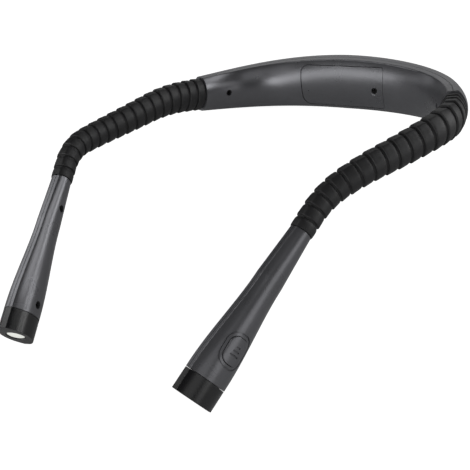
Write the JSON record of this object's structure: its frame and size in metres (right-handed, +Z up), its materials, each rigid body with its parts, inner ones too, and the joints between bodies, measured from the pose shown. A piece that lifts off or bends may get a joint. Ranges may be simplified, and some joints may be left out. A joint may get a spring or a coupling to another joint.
{
  "type": "neck reading light",
  "caption": "Hands-free reading light worn round the neck: a curved battery housing with flexible ribbed arms that end in flat lamp heads.",
  "frame": {"origin": "centre of the bounding box, at table height", "axes": "+Z up from the table the light lies on, -Y forward from the yoke to the lamp heads, +X to the wearer's side that carries the right arm"},
  "size_m": [0.193, 0.2566, 0.0642],
  "materials": {
    "grey_plastic": "satin dark grey moulded plastic",
    "black_plastic": "glossy black moulded plastic",
    "black_rubber": "matt black ribbed rubber",
    "gooseneck_steel": "dull steel",
    "dark_steel": "blackened steel",
    "cell_case": "plain printed metal jacket",
    "contact_steel": "bright nickel plate",
    "lead": "red insulation",
    "lens": "clear dome, frosted behind",
    "reflector": "mirror-plated",
    "circuit_board": "green circuit board",
    "led": "yellow phosphor",
    "switch": "black moulded plastic"
  },
  "bodies": {
    "yoke": {"yoke_outer_shell": "grey_plastic", "yoke_inner_shell": "grey_plastic", "yoke_screw_left": "dark_steel", "yoke_screw_right": "dark_steel", "cell_upper": "cell_case", "cell_lower": "cell_case", "contact_bridge": "contact_steel", "contact_plate_upper": "contact_steel", "contact_plate_lower": "contact_steel", "contact_spring_upper": "contact_steel", "contact_spring_lower": "contact_steel", "lead_left": "lead", "lead_right": "lead", "right_link_1": "gooseneck_steel", "left_link_1": "gooseneck_steel"},
    "battery_cover": {"battery_cover": "grey_plastic", "battery_cover_screw": "dark_steel"},
    "right_link_a": {"right_sleeve_1": "black_rubber", "right_link_2": "gooseneck_steel"},
    "right_link_b": {"right_sleeve_2": "black_rubber", "right_link_3": "gooseneck_steel"},
    "right_link_c": {"right_sleeve_3": "black_rubber", "right_link_4": "gooseneck_steel"},
    "right_head": {"right_sleeve_4": "black_rubber", "right_link_5": "gooseneck_steel", "right_head_outer_shell": "grey_plastic", "right_head_inner_shell": "grey_plastic", "right_head_screw_1": "dark_steel", "right_head_screw_2": "dark_steel", "right_cap": "black_plastic", "right_lens": "lens", "right_reflector": "reflector", "right_led_board": "circuit_board", "right_led": "led", "right_switch_board": "circuit_board", "right_switch": "switch"},
    "right_button": {"right_button": "grey_plastic"},
    "left_link_a": {"left_sleeve_1": "black_rubber", "left_link_2": "gooseneck_steel"},
    "left_link_b": {"left_sleeve_2": "black_rubber", "left_link_3": "gooseneck_steel"},
    "left_link_c": {"left_sleeve_3": "black_rubber", "left_link_4": "gooseneck_steel"},
    "left_head": {"left_sleeve_4": "black_rubber", "left_link_5": "gooseneck_steel", "left_head_outer_shell": "grey_plastic", "left_head_inner_shell": "grey_plastic", "left_head_screw_1": "dark_steel", "left_head_screw_2": "dark_steel", "left_cap": "black_plastic", "left_lens": "lens", "left_reflector": "reflector", "left_led_board": "circuit_board", "left_led": "led", "left_switch_board": "circuit_board", "left_switch": "switch"},
    "left_button": {"left_button": "grey_plastic"}
  },
  "joints": [
    {"name": "right_root_pitch", "type": "hinge", "parent": "yoke", "child": "right_link_a", "pos_m": [0.08919, 0.04835, 0.05436], "axis": [0.9644, -0.0954, 0.2468], "range_deg": [-35, 35], "deforming": ["right_sleeve_1"]},
    {"name": "right_root_yaw", "type": "hinge", "parent": "right_link_a", "child": "right_link_b", "pos_m": [0.07835, 0.0228, 0.05444], "axis": [-0.2564, 0.0934, 0.9621], "range_deg": [-35, 35], "deforming": ["right_sleeve_2"]},
    {"name": "right_tip_pitch", "type": "hinge", "parent": "right_link_b", "child": "right_link_c", "pos_m": [0.06647, 0.00142, 0.05338], "axis": [0.8205, -0.5054, 0.2671], "range_deg": [-35, 35], "deforming": ["right_sleeve_3"]},
    {"name": "right_tip_yaw", "type": "hinge", "parent": "right_link_c", "child": "right_head", "pos_m": [0.05693, -0.01671, 0.04903], "axis": [-0.3874, -0.1542, 0.9089], "range_deg": [-35, 35], "deforming": ["right_sleeve_4"]},
    {"name": "right_button_press", "type": "slide", "parent": "right_head", "child": "right_button", "axis": [-0.8962, 0.2787, -0.3451], "range_m": [0, 0.0004], "stiffness_N_per_m": 800},
    {"name": "left_root_pitch", "type": "hinge", "parent": "yoke", "child": "left_link_a", "pos_m": [-0.07931, 0.04402, 0.03241], "axis": [0.9719, -0.2029, 0.1191], "range_deg": [-35, 35], "deforming": ["left_sleeve_1"]},
    {"name": "left_root_yaw", "type": "hinge", "parent": "left_link_a", "child": "left_link_b", "pos_m": [-0.08522, 0.01696, 0.03635], "axis": [-0.092, 0.1335, 0.9868], "range_deg": [-35, 35], "deforming": ["left_sleeve_2"]},
    {"name": "left_tip_pitch", "type": "hinge", "parent": "left_link_b", "child": "left_link_c", "pos_m": [-0.09014, -0.00683, 0.0394], "axis": [0.9906, -0.0916, 0.1014], "range_deg": [-35, 35], "deforming": ["left_sleeve_3"]},
    {"name": "left_tip_yaw", "type": "hinge", "parent": "left_link_c", "child": "left_head", "pos_m": [-0.08956, -0.02745, 0.04249], "axis": [-0.053, -0.0517, 0.9973], "range_deg": [-35, 35], "deforming": ["left_sleeve_4"]},
    {"name": "left_button_press", "type": "slide", "parent": "left_head", "child": "left_button", "axis": [0.9438, 0.3187, 0.0872], "range_m": [0, 0.0004], "stiffness_N_per_m": 800},
    {"name": "battery_cover_slide", "type": "slide", "parent": "yoke", "child": "battery_cover", "axis": [-0.031, -0.9047, 0.425], "range_m": [0, 0.02]}
  ]
}
